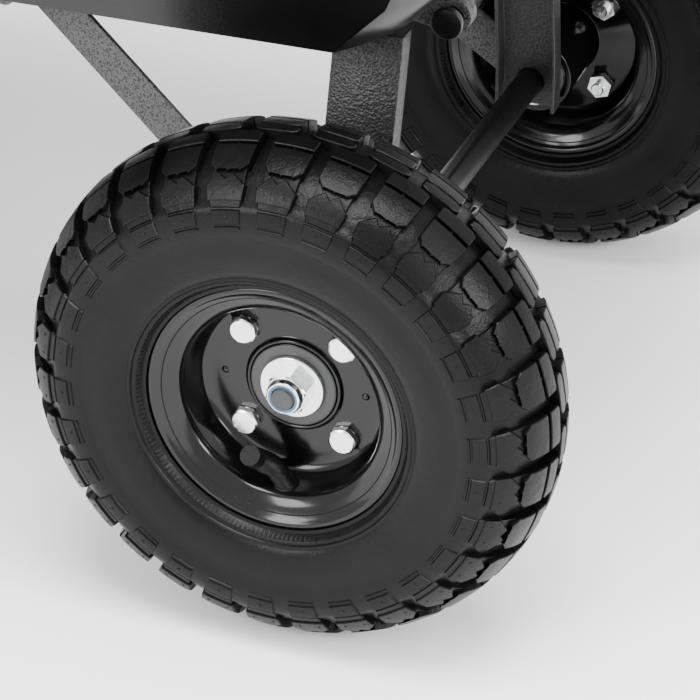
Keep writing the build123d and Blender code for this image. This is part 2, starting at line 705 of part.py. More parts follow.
def drawbar_stop():
    """The round bar that the drawbar rests on."""
    under = drawbar_w / 2 + drawbar_stop_r + touch_gap
    return tilt(Pos(0, -drawbar_stop_ahead, -under) * ring(drawbar_stop_r, 0, -steer_x, steer_x))


def drawbar_pin():
    half = steer_x + yoke_t + pin_play
    return Pos(0, pivot_y, pivot_z) * headed_pin(drawbar_pin_d, half, 3, pin_head)


# ---------------------------------------------------------------- drawbar, drawn level from its pivot
def tilt(piece):
    return Pos(0, pivot_y, pivot_z) * Rot(drawbar_drop, 0, 0) * piece


def drawbar():
    tube = Pos(0, (drawbar_tail - drawbar_len) / 2, 0) * square_tube(
        drawbar_len + drawbar_tail, drawbar_w, drawbar_wall)
    tube += ring(drawbar_pin_d / 2 + 4, 0, -steer_x + touch_gap, steer_x - touch_gap)
    tube -= ring(drawbar_pin_d / 2 + running_gap, 0, -steer_x, steer_x)
    tube -= Pos(0, bail_y, bail_z) * ring(bail_pin_d / 2 + running_gap, 0, -steer_x, steer_x)
    for plate in hitch_clevis():
        tube += plate
    return tilt(tube)


def hitch_clevis():
    """Two tongues welded above and below the end of the bar; the lower one carries the bail's rest."""
    back = clevis_lap - drawbar_len
    front = hitch_y - hitch_pin_edge
    plates = []
    for z in (drawbar_w / 2 + clevis_t / 2, -drawbar_w / 2 - clevis_t / 2):
        plate = Pos(0, (back + front) / 2, z) * Box(drawbar_w, back - front, clevis_t)
        if z < 0:
            plate += Pos(0, back - bail_rest / 2, z) * Box(2 * bail_leg_x + bail_rod_d, bail_rest, clevis_t)
        plate -= Pos(0, hitch_y, z) * Cylinder(hitch_pin_d / 2 + 2 * running_gap, 4 * clevis_t)
        plates.append(plate)
    return plates


def hitch_pin():
    top = drawbar_w / 2 + clevis_t
    pin = Pos(0, hitch_y, top) * Cylinder(hitch_pin_d / 2, 2 * top + hitch_pin_past, align=hanging)
    return tilt(pin + Pos(0, hitch_y, top) * Cylinder(hitch_pin_d / 2 + 4, hitch_pin_head, align=standing))


def bail_pin():
    half = bail_leg_x + bail_rod_d / 2 + touch_gap
    return tilt(Pos(0, bail_y, bail_z) * headed_pin(bail_pin_d, half, 2.5, bail_pin_head))


def grip_bail():
    """A round-bar loop that swings on the bail pin."""
    left = [(-bail_leg_x, 0), (-bail_leg_x, -bail_neck), (-bail_half, -bail_shoulder), (-bail_half, -bail_len)]
    right = [(-x, y) for x, y in reversed(left)]
    path = FilletPolyline(*left, *right, radius=bail_bend_r)
    rod = sweep(Plane(origin=path @ 0, z_dir=path % 0) * Circle(bail_rod_d / 2), path=path)
    for side in (1, -1):
        x = side * bail_leg_x
        rod += ring(bail_pin_d / 2 + 4, 0, x - bail_eye_t / 2, x + bail_eye_t / 2)
    rod -= ring(bail_pin_d / 2 + running_gap, 0, -bail_half, bail_half)
    return tilt(Pos(0, bail_y, bail_z) * rod.solids()[0])


def handle_grip():
    half = bail_half - grip_end
    grip = ring(grip_d / 2, bail_rod_d / 2 + running_gap, -half, half)
    return tilt(Pos(0, bail_y - bail_len, bail_z) * grip)


def write(name, shape):
    if isinstance(shape, list):
        shape = Compound(children=shape)
    export_step(Pos(0, -origin_y, 0) * shape, "parts/%s.step" % name)


def main():
    os.makedirs("parts", exist_ok=True)
    wheel = {"tyre": tyre(), "inner_tube": inner_tube(), "outer_rim": outer_rim(), "inner_rim": inner_rim(),
             "hub": hub(), "bearings": bearings(), "rim_bolts": rim_bolts(), "rim_nuts": rim_nuts()}
    for end, y in (("rear", 0.0), ("front", front_y)):
        for side, sign in (("left", 1), ("right", -1)):
            for name, piece in wheel.items():
                solids = piece if isinstance(piece, list) else [piece]
                if sign < 0:
                    solids = [mirror(solid, Plane.YZ) for solid in solids]
                place = Pos(sign * half_track, y, axle_z)
                write("%s_%s_%s" % (end, side, name), [place * solid for solid in solids])
    rear_seat = web_x + touch_gap + brace_t
    for end, y, seat in (("rear", 0.0, rear_seat), ("front", front_y, web_x)):
        place = Pos(0, y, axle_z)
        write(end + "_axle", place * axle())
        write(end + "_axle_washers", [place * washer for washer in axle_washers(seat)])
        write(end + "_axle_nuts", [place * nut for nut in axle_nuts()])
    for make in (side_rails, cross_members, rear_legs, rear_braces, hinge_pin,
                 tub, tub_hinge_plates, tub_bolts, latch_pin, latch_lever, latch_striker,
                 turntable_plate, king_pin, front_beam, front_legs, steering_yoke,
                 drawbar_pin, drawbar, hitch_pin, bail_pin, grip_bail, handle_grip):
        write(make.__name__, make())


main()
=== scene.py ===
import json
import math

import bmesh
import bpy
from mathutils import Matrix, Vector


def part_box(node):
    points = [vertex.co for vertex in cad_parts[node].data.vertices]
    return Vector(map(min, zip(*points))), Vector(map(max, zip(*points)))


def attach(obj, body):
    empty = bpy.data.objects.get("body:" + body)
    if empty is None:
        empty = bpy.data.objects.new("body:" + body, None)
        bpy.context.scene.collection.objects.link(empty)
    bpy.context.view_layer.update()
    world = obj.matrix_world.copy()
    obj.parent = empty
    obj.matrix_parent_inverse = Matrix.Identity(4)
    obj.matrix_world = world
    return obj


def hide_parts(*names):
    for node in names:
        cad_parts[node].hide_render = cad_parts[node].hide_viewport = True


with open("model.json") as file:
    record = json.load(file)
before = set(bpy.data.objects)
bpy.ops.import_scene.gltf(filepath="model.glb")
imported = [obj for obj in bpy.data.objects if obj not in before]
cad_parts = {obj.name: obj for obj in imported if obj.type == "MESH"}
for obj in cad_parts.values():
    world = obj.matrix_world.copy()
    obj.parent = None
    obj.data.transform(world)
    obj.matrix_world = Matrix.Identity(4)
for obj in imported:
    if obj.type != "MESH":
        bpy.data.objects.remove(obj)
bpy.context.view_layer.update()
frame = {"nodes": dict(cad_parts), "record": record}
MM = 0.001
record = frame["record"]
BODY_OF = {node: body for body, nodes in record["behaviour"]["bodies"].items() for node in nodes}
WHEELS = ("rear_left", "rear_right", "front_left", "front_right")


# ---------------------------------------------------------------- sizes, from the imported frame
def centre(node):
    low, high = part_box(node)
    return (Vector(low) + Vector(high)) / 2


def reach(node, axis):
    low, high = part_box(node)
    return high[axis] - low[axis]


TYRE_R = reach("rear_left_tyre", 2) / 2 / MM        # millimetres from here on, in each wheel's own frame
TYRE_HALF = reach("rear_left_tyre", 0) / 2 / MM
RIM_R = reach("rear_left_outer_rim", 2) / 2 / MM
WHEEL_AT = {wheel: centre(wheel + "_tyre") for wheel in WHEELS}


# ---------------------------------------------------------------- materials
def shader(name, **sockets):
    material = bpy.data.materials.new(name)
    material.use_nodes = True
    bsdf = material.node_tree.nodes["Principled BSDF"]
    for key, value in sockets.items():
        bsdf.inputs[key.replace("_", " ")].default_value = value
    return material, material.node_tree, bsdf


def add(tree, kind, **values):
    """A node with its settings; a key that names an input socket sets that socket."""
    node = tree.nodes.new(kind)
    for key, value in values.items():
        socket = node.inputs.get(key.replace("_", " "))
        if socket is None:
            setattr(node, key, value)
        else:
            socket.default_value = value
    return node


def ramp(tree, source, stops):
    """Maps a 0..1 value to colours at the given stops."""
    node = tree.nodes.new("ShaderNodeValToRGB")
    elements = node.color_ramp.elements
    while len(elements) < len(stops):
        elements.new(0.5)
    for element, (at, colour) in zip(elements, stops):
        element.position = at
        element.color = colour if len(colour) == 4 else (*colour, 1.0)
    tree.links.new(source, node.inputs["Fac"])
    return node.outputs["Color"]


def grey(value, tint=0.0):
    return (value, value * (1 + tint), value * (1 + 2 * tint))


def greys(tree, source, socket, *stops):
    """Drives a socket by a ramp of greys; each stop is a position, a value and, if not neutral, a tint."""
    tree.links.new(ramp(tree, source, [(stop[0], grey(*stop[1:])) for stop in stops]), socket)


def place(tree):
    return add(tree, "ShaderNodeTexCoord").outputs["Object"]


def noise(tree, scale, detail=3.0, roughness=0.55):
    node = add(tree, "ShaderNodeTexNoise", Scale=scale, Detail=detail, Roughness=roughness)
    tree.links.new(place(tree), node.inputs["Vector"])
    return node.outputs["Fac"]


def voronoi(tree, scale, feature="F1"):
    node = add(tree, "ShaderNodeTexVoronoi", Scale=scale, feature=feature)
    tree.links.new(place(tree), node.inputs["Vector"])
    return node.outputs["Distance"]


def mixed(tree, a, b, amount):
    node = add(tree, "ShaderNodeMath", operation="MULTIPLY_ADD")
    tree.links.new(b, node.inputs[0])
    node.inputs[1].default_value = amount
    tree.links.new(a, node.inputs[2])
    return node.outputs[0]


def bump(tree, bsdf, height, distance, strength=1.0):
    node = add(tree, "ShaderNodeBump", Strength=strength, Distance=distance)
    tree.links.new(height, node.inputs["Height"])
    tree.links.new(node.outputs["Normal"], bsdf.inputs["Normal"])


def rubber(name, dark, light, rough):
    """Near-black rubber with a cloudy tone and a fine pitted skin."""
    material, tree, bsdf = shader(name)
    bsdf.inputs["Specular IOR Level"].default_value = 0.13
    cloud = noise(tree, 28.0, 4.0)
    fine = noise(tree, 900.0, 2.0)
    greys(tree, cloud, bsdf.inputs["Base Color"], (0.35, dark), (0.65, light))
    greys(tree, mixed(tree, cloud, fine, 0.3), bsdf.inputs["Roughness"],
          (0.4, rough - 0.06), (0.9, rough + 0.1))
    bump(tree, bsdf, mixed(tree, noise(tree, 260.0, 3.0), fine, 0.5), 0.00035, 0.7)
    return material


def enamel(name, colour, rough, orange_peel):
    """Black enamel with a slight orange peel."""
    material, tree, bsdf = shader(name, Specular_IOR_Level=0.26, Coat_Weight=0.12, Coat_Roughness=0.06)
    cloud = noise(tree, 40.0, 3.0)
    greys(tree, cloud, bsdf.inputs["Base Color"], (0.3, colour), (0.7, colour * 1.5))
    greys(tree, noise(tree, 160.0), bsdf.inputs["Roughness"], (0.3, rough), (0.75, rough + 0.08))
    bump(tree, bsdf, noise(tree, 170.0, 1.0), orange_peel, 0.35)
    return material


def hammered(name, dark, light, metal=0.25):
    """Hammer-finish paint: shallow cells about a millimetre wide, light on their rims."""
    material, tree, bsdf = shader(name, Metallic=metal, Specular_IOR_Level=0.32)
    cells = voronoi(tree, 900.0, "SMOOTH_F1")
    flecks = noise(tree, 1500.0, 2.0)
    drift = noise(tree, 9.0, 2.0)
    pattern = mixed(tree, mixed(tree, cells, flecks, 0.9), drift, 0.25)
    greys(tree, pattern, bsdf.inputs["Base Color"], (0.72, dark), (0.95, (dark + light) / 2), (1.0, light))
    greys(tree, flecks, bsdf.inputs["Roughness"], (0.35, 0.28), (0.7, 0.46))
    bump(tree, bsdf, mixed(tree, cells, flecks, 0.35), 0.0005, 0.7)
    return material


def plated(name, tone, rough, metal=1.0):
    """Plated or bare metal with fine streaks in its shine."""
    material, tree, bsdf = shader(name, Metallic=metal)
    streaks = noise(tree, 420.0, 4.0)
    greys(tree, noise(tree, 90.0), bsdf.inputs["Base Color"], (0.3, tone * 0.88, 0.01), (0.7, tone, 0.012))
    greys(tree, streaks, bsdf.inputs["Roughness"], (0.3, rough), (0.7, rough + 0.14))
    bump(tree, bsdf, streaks, 0.00006, 0.5)
    return material


def moulded(name, colour, rough):
    """Black polyethylene: smooth semi-gloss with a faint mould grain and slow waves."""
    material, tree, bsdf = shader(name, Specular_IOR_Level=0.3)
    grain = noise(tree, 1300.0, 2.0)
    waves = noise(tree, 14.0, 2.0)
    greys(tree, waves, bsdf.inputs["Base Color"], (0.3, colour), (0.7, colour * 1.4))
    greys(tree, mixed(tree, waves, grain, 0.3), bsdf.inputs["Roughness"], (0.4, rough), (0.9, rough + 0.12))
    bump(tree, bsdf, mixed(tree, waves, grain, 0.12), 0.0006, 0.4)
    return material


TYRE_RUBBER = rubber("tyre_rubber_look", 0.0012, 0.0026, 0.33)
STEM_RUBBER = rubber("stem_rubber_look", 0.002, 0.004, 0.36)
GRIP_RUBBER = rubber("grip_rubber_look", 0.003, 0.006, 0.5)
RIM_PAINT = enamel("rim_paint_look", 0.0015, 0.13, 0.00012)
AXLE_PAINT = enamel("axle_paint_look", 0.002, 0.30, 0.00008)
FRAME_PAINT = hammered("frame_paint_look", 0.006, 0.065)
# A darker, less metallic copy of the frame's hammered paint for the legs: painted shade, since the legs carry
# the same paint as the rest of the frame
SHADED_FRAME_PAINT = hammered("frame_paint_shaded_look", 0.003, 0.020, 0.1)
ZINC = plated("zinc_look", 0.86, 0.16)
SEAL = plated("bearing_seal_look", 0.035, 0.38, 0.2)
THREAD_END = plated("thread_end_look", 0.05, 0.42, 0.5)
TUB_PLASTIC = moulded("tub_plastic_look", 0.002, 0.17)
NYLON = shader("nylon_look", Base_Color=(0.03, 0.13, 0.26, 1.0), Roughness=0.35)[0]


# ---------------------------------------------------------------- mesh helpers
def piece(name, bm, materials, wheel=None, node=None, sharp=34.0):
    """Turns a bmesh into an object; with a wheel its millimetres are put at that wheel's centre."""
    mesh = bpy.data.meshes.new(name)
    bm.to_mesh(mesh)
    bm.free()
    mesh.polygons.foreach_set("use_smooth", [True] * len(mesh.polygons))
    mesh.set_sharp_from_angle(angle=math.radians(sharp))
    for material in materials:
        mesh.materials.append(material)
    return show(name, mesh, node, wheel)


def show(name, mesh, node, wheel=None):
    item = bpy.data.objects.new(name, mesh)
    bpy.context.scene.collection.objects.link(item)
    if wheel:
        turn = Matrix.Rotation(math.pi, 4, "Z") if wheel.endswith("right") else Matrix.Identity(4)
        item.matrix_world = Matrix.Translation(WHEEL_AT[wheel]) @ turn
    nodes = [node] if isinstance(node, str) else node
    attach(item, BODY_OF[nodes[0]])
    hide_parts(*nodes)
    return item


def lathe(bm, profile, segments=96, material=0, closed=False):
    """(x, r) millimetre points turned about the X axis into the bmesh, in metres."""
    rings = []
    for x, r in profile:
        turns = 1 if r < 1e-6 else segments
        ring = [bm.verts.new((x * MM, r * MM * math.sin(2 * math.pi * k / segments),
                              r * MM * math.cos(2 * math.pi * k / segments))) for k in range(turns)]
        rings.append(ring)
    pairs = list(zip(rings, rings[1:]))
    if closed:
        pairs.append((rings[-1], rings[0]))
    for a, b in pairs:
        for k in range(segments):
            corners = [a[k % len(a)], a[(k + 1) % len(a)], b[(k + 1) % len(b)], b[k % len(b)]]
            unique = [v for i, v in enumerate(corners) if v not in corners[:i]]
            face = bm.faces.new(unique)
            face.material_index = material
    return rings


def rounded(points, radius, steps=4):
    """The polyline with each inner corner replaced by an arc of about the given radius."""
    out = [points[0]]
    for before, at, after in zip(points, points[1:], points[2:]):
        at_v = Vector(at)
        to_a = Vector(before) - at_v
        to_b = Vector(after) - at_v
        cut = min(radius, to_a.length * 0.45, to_b.length * 0.45)
        start = at_v + to_a.normalized() * cut
        end = at_v + to_b.normalized() * cut
        for k in range(steps + 1):
            f = k / steps
            point = start * (1 - f) ** 2 + at_v * 2 * f * (1 - f) + end * f ** 2
            out.append((point.x, point.y))
    out.append(points[-1])
    return out


def grown(outline, distance):
    """A closed outline moved outwards by a distance; corners are mitred."""
    count = len(outline)
    area = sum(outline[i][0] * outline[(i + 1) % count][1] - outline[(i + 1) % count][0] * outline[i][1]
               for i in range(count))
    side = 1 if area > 0 else -1
    out = []
    for i in range(count):
        before, at, after = (Vector(outline[j % count]) for j in (i - 1, i, i + 1))
        n1 = Vector(((at - before).y, -(at - before).x)).normalized() * side
        n2 = Vector(((after - at).y, -(after - at).x)).normalized() * side
        mitre = (n1 + n2).normalized()
        out.append(tuple(at + mitre * distance / max(mitre.dot(n1), 0.5)))
    return out


# ---------------------------------------------------------------- tyre
PITCHES = 30
PITCH = 360.0 / PITCHES                 # degrees
MM_PER_DEGREE = 2.18                    # along the tread, at its mean radius
PHASE = 9.7                             # angle of the first block's edge from the top, towards the rear
SECTION_R = 101.25                      # middle of the section's ellipse
HALF_H = TYRE_R - SECTION_R
HALF_W = TYRE_HALF - 0.1
LOW_T = -15.0                           # where the tread's arc length starts, on the sidewall
GROOVE = 5.2                            # depth of the main grooves
TEETH = 180                             # short radial teeth around each bead


def ellipse_table():
    """Arc length against angle, from the lower sidewall to the crown."""
    table = [(0.0, math.radians(LOW_T))]
    steps = 900
    span = math.radians(90.0 - LOW_T)
    for k in range(1, steps + 1):
        a = math.radians(LOW_T) + span * (k - 0.5) / steps
        ds = math.hypot(HALF_W * math.sin(a), HALF_H * math.cos(a)) * span / steps
        table.append((table[-1][0] + ds, math.radians(LOW_T) + span * k / steps))
    return table


ARC = ellipse_table()
CROWN_S = ARC[-1][0]


def on_section(s, lift):
    """(x, r) at arc length s, raised by lift; s past the crown is on the other side."""
    side = 1.0
    if s > CROWN_S:
        side, s = -1.0, 2 * CROWN_S - s
    k = min(max(int(s / CROWN_S * (len(ARC) - 1)), 0), len(ARC) - 2)
    while k < len(ARC) - 2 and ARC[k + 1][0] < s:
        k += 1
    while k > 0 and ARC[k][0] > s:
        k -= 1
    (s0, t0), (s1, t1) = ARC[k], ARC[k + 1]
    t = t0 + (t1 - t0) * (s - s0) / (s1 - s0)
    nx, nr = math.cos(t) / HALF_W, math.sin(t) / HALF_H
    n = math.hypot(nx, nr)
    x = HALF_W * math.cos(t) + nx / n * lift
    return side * x, SECTION_R + HALF_H * math.sin(t) + nr / n * lift


def on_tyre(angle, s, lift):
    x, r = on_section(s, lift)
    a = math.radians(angle)
    return (x * MM, r * MM * math.sin(a), r * MM * math.cos(a))


def groove_floor(s):
    """How deep the ground between the blocks lies, from the sidewall to the crown."""
    stops = [(0.0, 0.5), (5.0, 0.7), (8.0, 0.9), (16.0, 1.2), (21.0, 3.2), (28.0, GROOVE - 0.9),
             (36.0, GROOVE - 0.4), (48.0, GROOVE), (CROWN_S, GROOVE)]
    for (s0, d0), (s1, d1) in zip(stops, stops[1:]):
        if s <= s1:
            return d0 + (d1 - d0) * (s - s0) / (s1 - s0)
    return GROOVE


# outlines of the blocks of one pitch, as (degrees, arc length)
SHIELD = [(0.3, 20.0), (0.05, 27.1), (2.9, 32.9), (4.45, 30.1), (5.95, 33.1), (9.0, 27.5), (8.8, 20.0)]
SIPED = [(0.3, 49.6), (0.3, 38.4), (1.9, 34.4), (3.2, 37.6), (4.5, 34.1), (6.0, 37.2), (7.2, 34.5),
         (8.95, 37.8), (9.0, 49.6)]
SQUARE = [(0.3, 51.7), (9.0, 51.7), (9.0, 58.9), (8.2, 60.0), (1.1, 60.0), (0.3, 58.9)]
CENTRE = [(6.6, 63.2), (7.8, 61.6), (14.2, 61.6), (15.4, 63.2), (15.4, 66.5), (14.2, 68.1), (7.8, 68.1),
          (6.6, 66.5)]
TIE_BAR = [(4.4, 49.0), (5.0, 49.0), (5.0, 52.2), (4.4, 52.2)]
PAD = [(0.9, 15.6), (8.4, 15.6), (8.3, 8.6), (1.0, 8.6)]
RIB = [(1.1, 7.4), (8.2, 7.4), (8.2, 6.2), (1.1, 6.2)]
STEP = [(0.6, 20.4), (8.6, 20.4), (8.4, 16.6), (0.9, 16.6)]
SIPE_FLOOR = [(0.7, 25.0), (0.7, 40.5), (8.5, 40.5), (8.5, 25.0)]


def block(bm, outline, top, floor, taper, edge):
    """A tread block in flat millimetres: tapered walls, a small chamfer and a closed top."""
    flat = [(a * MM_PER_DEGREE, s) for a, s in outline]
    levels = [(grown(flat, taper), floor), (flat, top - edge), (grown(flat, -edge), top)]
    rings = [[bm.verts.new((x, y, z)) for x, y in ring] for ring, z in levels]
    for low, high in zip(rings, rings[1:]):
        for k in range(len(low)):
            bm.faces.new((low[k], low[(k + 1) % len(low)], high[(k + 1) % len(low)], high[k]))
    bm.faces.new(rings[-1])


def pip(bm, angle, s, radius, top, floor):
    ring = [(angle + radius / MM_PER_DEGREE * math.cos(a), s + radius * math.sin(a))
            for a in (2 * math.pi * k / 8 for k in range(8))]
    block(bm, ring, top, floor, 0.1, 0.2)


def half_pitch():
    """Blocks of one pitch from the sidewall to short of the crown, in flat millimetres."""
    bm = bmesh.new()
    block(bm, SHIELD, 0.0, -GROOVE, 0.5, 0.45)
    block(bm, SIPED, 0.0, -GROOVE - 0.3, 0.35, 0.4)
    block(bm, SQUARE, 0.0, -GROOVE - 0.3, 0.35, 0.4)
    block(bm, TIE_BAR, -1.2, -GROOVE - 0.3, 0.1, 0.2)
    block(bm, PAD, -0.25, -1.8, 0.5, 0.35)
    block(bm, RIB, -0.15, -1.6, 0.4, 0.3)
    block(bm, STEP, -0.9, -3.4, 0.5, 0.5)
    block(bm, SIPE_FLOOR, -2.3, -GROOVE, 0.2, 0.2)
    for at in (1.9, 6.9):
        pip(bm, at, 23.8, 0.85, 0.25, -0.5)
    pip(bm, 4.6, 12.0, 0.8, 0.1, -0.8)
    return bm


def sliced(bm):
    """Cuts long faces so that they can follow the tyre's curves; returns points and faces."""
    bmesh.ops.triangulate(bm, faces=[f for f in bm.faces if len(f.verts) > 4])
    low = min(v.co.y for v in bm.verts)
    high = max(v.co.y for v in bm.verts)
    cuts = [((0, y, 0), (0, 1, 0)) for y in frange(low + 2.4, high, 2.4)]
    across = frange(3.2 * MM_PER_DEGREE, 16 * MM_PER_DEGREE, 3 * MM_PER_DEGREE)
    cuts += [((x, 0, 0), (1, 0, 0)) for x in across]
    for point, normal in cuts:
        bmesh.ops.bisect_plane(bm, geom=bm.verts[:] + bm.edges[:] + bm.faces[:], dist=1e-4,
                               plane_co=point, plane_no=normal)
    bm.verts.index_update()
    points = [tuple(v.co) for v in bm.verts]
    faces = [[v.index for v in f.verts] for f in bm.faces]
    bm.free()
    return points, faces


def frange(start, stop, step):
    """Values from start up to, but not including, stop."""
    out = []
    while start < stop:
        out.append(start)
        start += step
    return out


def tyre_mesh():
    """The tyre as a closed hollow ring with its blocks standing on it, shared by the four wheels."""
    bm = bmesh.new()
    bead = [(27.6, 64.35), (30.4, 64.6), (30.7, 66.2), (33.9, 68.3), (34.5, 68.9), (34.7, 69.8), (34.5, 70.4),
            (35.3, 70.9), (35.5, 71.9), (35.3, 72.5), (36.2, 73.6), (37.3, 77.2), (38.3, 82.2), (38.9, 87.4)]
    wall = [on_section(s, -groove_floor(s)) for s in frange(0.0, CROWN_S - 0.5, 1.6)]
    right = bead + wall
    left = [(-x, r) for x, r in reversed(right)]
    foot = [(-27.6, 58.0), (-22.0, 53.0), (22.0, 53.0), (27.6, 58.0)]
    lathe(bm, right + [(0.0, TYRE_R - GROOVE)] + left + foot, segments=180, closed=True)
    middle = bmesh.new()
    block(middle, CENTRE, 0.0, -GROOVE - 0.3, 0.35, 0.4)
    parts = [(sliced(half_pitch()), (1, -1)), (sliced(middle), (1,))]
    for (points, faces), sides in parts:
        for side in sides:
            for k in range(PITCHES):
                verts = []
                for x, y, z in points:
                    s = y if side > 0 else 2 * CROWN_S - y
                    angle = PHASE + PITCH * (k + (0.0 if side > 0 else 0.5)) + x / MM_PER_DEGREE
                    verts.append(bm.verts.new(on_tyre(angle, s, z)))
                for face in faces:
                    bm.faces.new([verts[i] for i in (face if side > 0 else reversed(face))])
    for side in (1, -1):
        for k in range(TEETH):
            tooth(bm, side, 360.0 / TEETH * k)
    mesh = bpy.data.meshes.new("tyre_tread")
    bm.to_mesh(mesh)
    bm.free()
    mesh.polygons.foreach_set("use_smooth", [True] * len(mesh.polygons))
    mesh.set_sharp_from_angle(angle=math.radians(34.0))
    mesh.materials.append(TYRE_RUBBER)
    return mesh


def tooth(bm, side, angle):
    """A short three-sided ridge on the bead ring."""
    corners = []
    for da, dx, r in ((-0.45, 0.0, 66.6), (0.45, 0.0, 66.6), (0.45, 0.0, 68.2), (-0.45, 0.0, 68.2),
                      (0.0, 0.35, 66.8), (0.0, 0.35, 68.0)):
        a = math.radians(angle + da)
        x = (31.3 if r < 67.5 else 33.7) + dx
        corners.append(bm.verts.new((side * x * MM, r * MM * math.sin(a), r * MM * math.cos(a))))
    for face in ((0, 4, 5, 3), (4, 1, 2, 5), (0, 1, 4), (2, 3, 5)):
        bm.faces.new([corners[i] for i in face])


def tyres():
    mesh = tyre_mesh()
    for wheel in WHEELS:
        show(wheel + "_tyre_tread", mesh, wheel + "_tyre", wheel)


# ---------------------------------------------------------------- rims, valve, bearings
DISC_X = 2.0            # outer face of the outer rim disc
RIVET_AT = 35.8         # from the wheel's axis


def rim_profile(collar):
    """One pressed half of the rim in section: out along its face, back along the inside."""
    front = [(DISC_X, 41.0), (DISC_X + 0.5, 44.6), (4.6, 47.4), (9.0, 48.7), (20.0, 49.4), (23.2, 50.6),
             (25.4, 53.6), (27.2, 57.6), (28.6, 60.2), (29.7, 61.6), (30.0, 62.9), (29.6, RIM_R),
             (28.4, RIM_R)]
    back = [(28.0, 63.0), (26.6, 60.6), (24.2, 57.4), (22.4, 52.6), (19.0, 51.0), (3.0, 50.6), (0.2, 47.0),
            (0.0, 42.0)]
    if collar:
        inner = [(2.4, 21.9), (3.7, 22.1), (4.2, 22.6), (4.3, 23.2), (4.0, 23.8), (3.2, 24.2), (2.5, 24.5),
                 (DISC_X, 25.2)]
        return inner + rounded([(DISC_X, 25.4)] + front, 2.0) + back + [(0.0, 22.2)]
    return [(DISC_X, 22.3)] + rounded([(DISC_X, 25.0)] + front, 2.0) + back + [(0.0, 22.3)]


def rims():
    for wheel in WHEELS:
        bm = bmesh.new()
        lathe(bm, rim_profile(True), segments=160, closed=True)
        for side in (1, -1):
            rivet(bm, side)
        piece(wheel + "_outer_rim_pressed", bm, [RIM_PAINT], wheel, wheel + "_outer_rim",
              sharp=50)
        bm = bmesh.new()
        lathe(bm, [(-x, r) for x, r in rim_profile(False)], segments=160, closed=True)
        piece(wheel + "_inner_rim_pressed", bm, [RIM_PAINT], wheel, wheel + "_inner_rim",
              sharp=50)


def rivet(bm, side):
    """A small domed rivet in the disc, beside the hub."""
    dome = [(DISC_X + 1.0, 0.0), (DISC_X + 0.9, 0.8), (DISC_X + 0.55, 1.5), (DISC_X - 0.05, 2.0)]
    turned(bm, dome, (side * RIVET_AT, 0.0), segments=20)


def tube_along(bm, path, radii, segments=28):
    """A round tube through the points of a path in the XZ plane, in millimetres, closed at its far end."""
    rings = []
    for k, (x, z) in enumerate(path):
        x0, z0 = path[max(k - 1, 0)]
        x1, z1 = path[min(k + 1, len(path) - 1)]
        length = math.hypot(x1 - x0, z1 - z0)
        across = (-(z1 - z0) / length, (x1 - x0) / length)
        ring = []
        for j in range(segments):
            a = 2 * math.pi * j / segments
            c, s = math.cos(a) * radii[k], math.sin(a) * radii[k]
            ring.append(bm.verts.new(((x + across[0] * c) * MM, s * MM, (z + across[1] * c) * MM)))
        rings.append(ring)
    for a, b in zip(rings, rings[1:]):
        for j in range(segments):
            bm.faces.new((a[j], a[(j + 1) % segments], b[(j + 1) % segments], b[j]))
    bm.faces.new(rings[-1])
    return rings


VALVE_LEAN = 15.0                       # how far the valve's tip leans to -Y in the wheel's own frame
VALVE_BASE = (0.0145, -0.0487)          # x and z of its collar, in metres


def valves():
    """The air tube inside the tyre, with its rubber valve stem bent out of the rim's well."""
    for wheel in WHEELS:
        bm = bmesh.new()
        section = [(-18.5, 53.6), (18.5, 53.6), (22.5, 68.0), (32.5, 92.0), (27.0, 112.0), (0.0, 124.5),
                   (-27.0, 112.0), (-32.5, 92.0), (-22.5, 68.0), (-18.5, 53.6)]
        lathe(bm, rounded(section, 6.0, 3), segments=72)
        path = rounded([(14.5, -50.5), (14.5, -46.5), (14.8, -40.5), (17.5, -36.5), (23.2, -31.5)], 6.0, 6)
        count = len(path)
        radii = []
        for k in range(count):
            f = k / (count - 1)
            radii.append(6.2 if f < 0.12 else 5.8 if f < 0.75 else 5.5)
        radii[-1] = 5.0
        rings = tube_along(bm, path, radii)
        for k, ring in enumerate(rings):
            for vert in ring:
                vert.co.y -= VALVE_LEAN * MM * (k / (count - 1)) ** 1.2
        tip = rings[-1]
        bmesh.ops.inset_individual(bm, faces=[f for f in bm.faces if set(f.verts) == set(tip)],
                                   thickness=0.0012, depth=-0.0014)
        collar = lathe(bm, [(-1.4, 6.8), (-0.2, 6.9), (0.2, 6.5), (0.3, 5.6)], segments=32, material=1)
        for ring in collar:
            for vert in ring:
                x, y, z = vert.co
                vert.co = Vector((VALVE_BASE[0] + z, y, VALVE_BASE[1] + x))
        piece(wheel + "_tube_and_valve", bm, [STEM_RUBBER, RIM_PAINT], wheel, wheel + "_inner_tube")


def bearings():
    """Each wheel's two bearings: a stepped, sealed face outboard and a plain ring inboard."""
    outer = [(3.0, 8.1), (4.2, 8.1), (4.62, 8.6), (4.62, 11.4), (4.35, 11.9), (4.35, 15.6), (4.66, 16.2),
             (4.66, 21.0), (4.2, 21.6), (-6.5, 17.5), (-6.5, 8.1)]
    inner = [(-51.0, 17.4), (-61.6, 17.4), (-62.0, 17.0), (-62.0, 8.1), (-51.0, 8.1)]
    for wheel in WHEELS:
        bm = bmesh.new()
        lathe(bm, rounded(outer, 0.25, 2), segments=96)
        lathe(bm, inner, segments=64, closed=True)
        piece(wheel + "_flanged_bearings", bm, [SEAL], wheel, wheel + "_bearings")


# ---------------------------------------------------------------- fasteners
HEAD_FACE = 0.90                        # width of a head's flat face, as a share of its width across flats


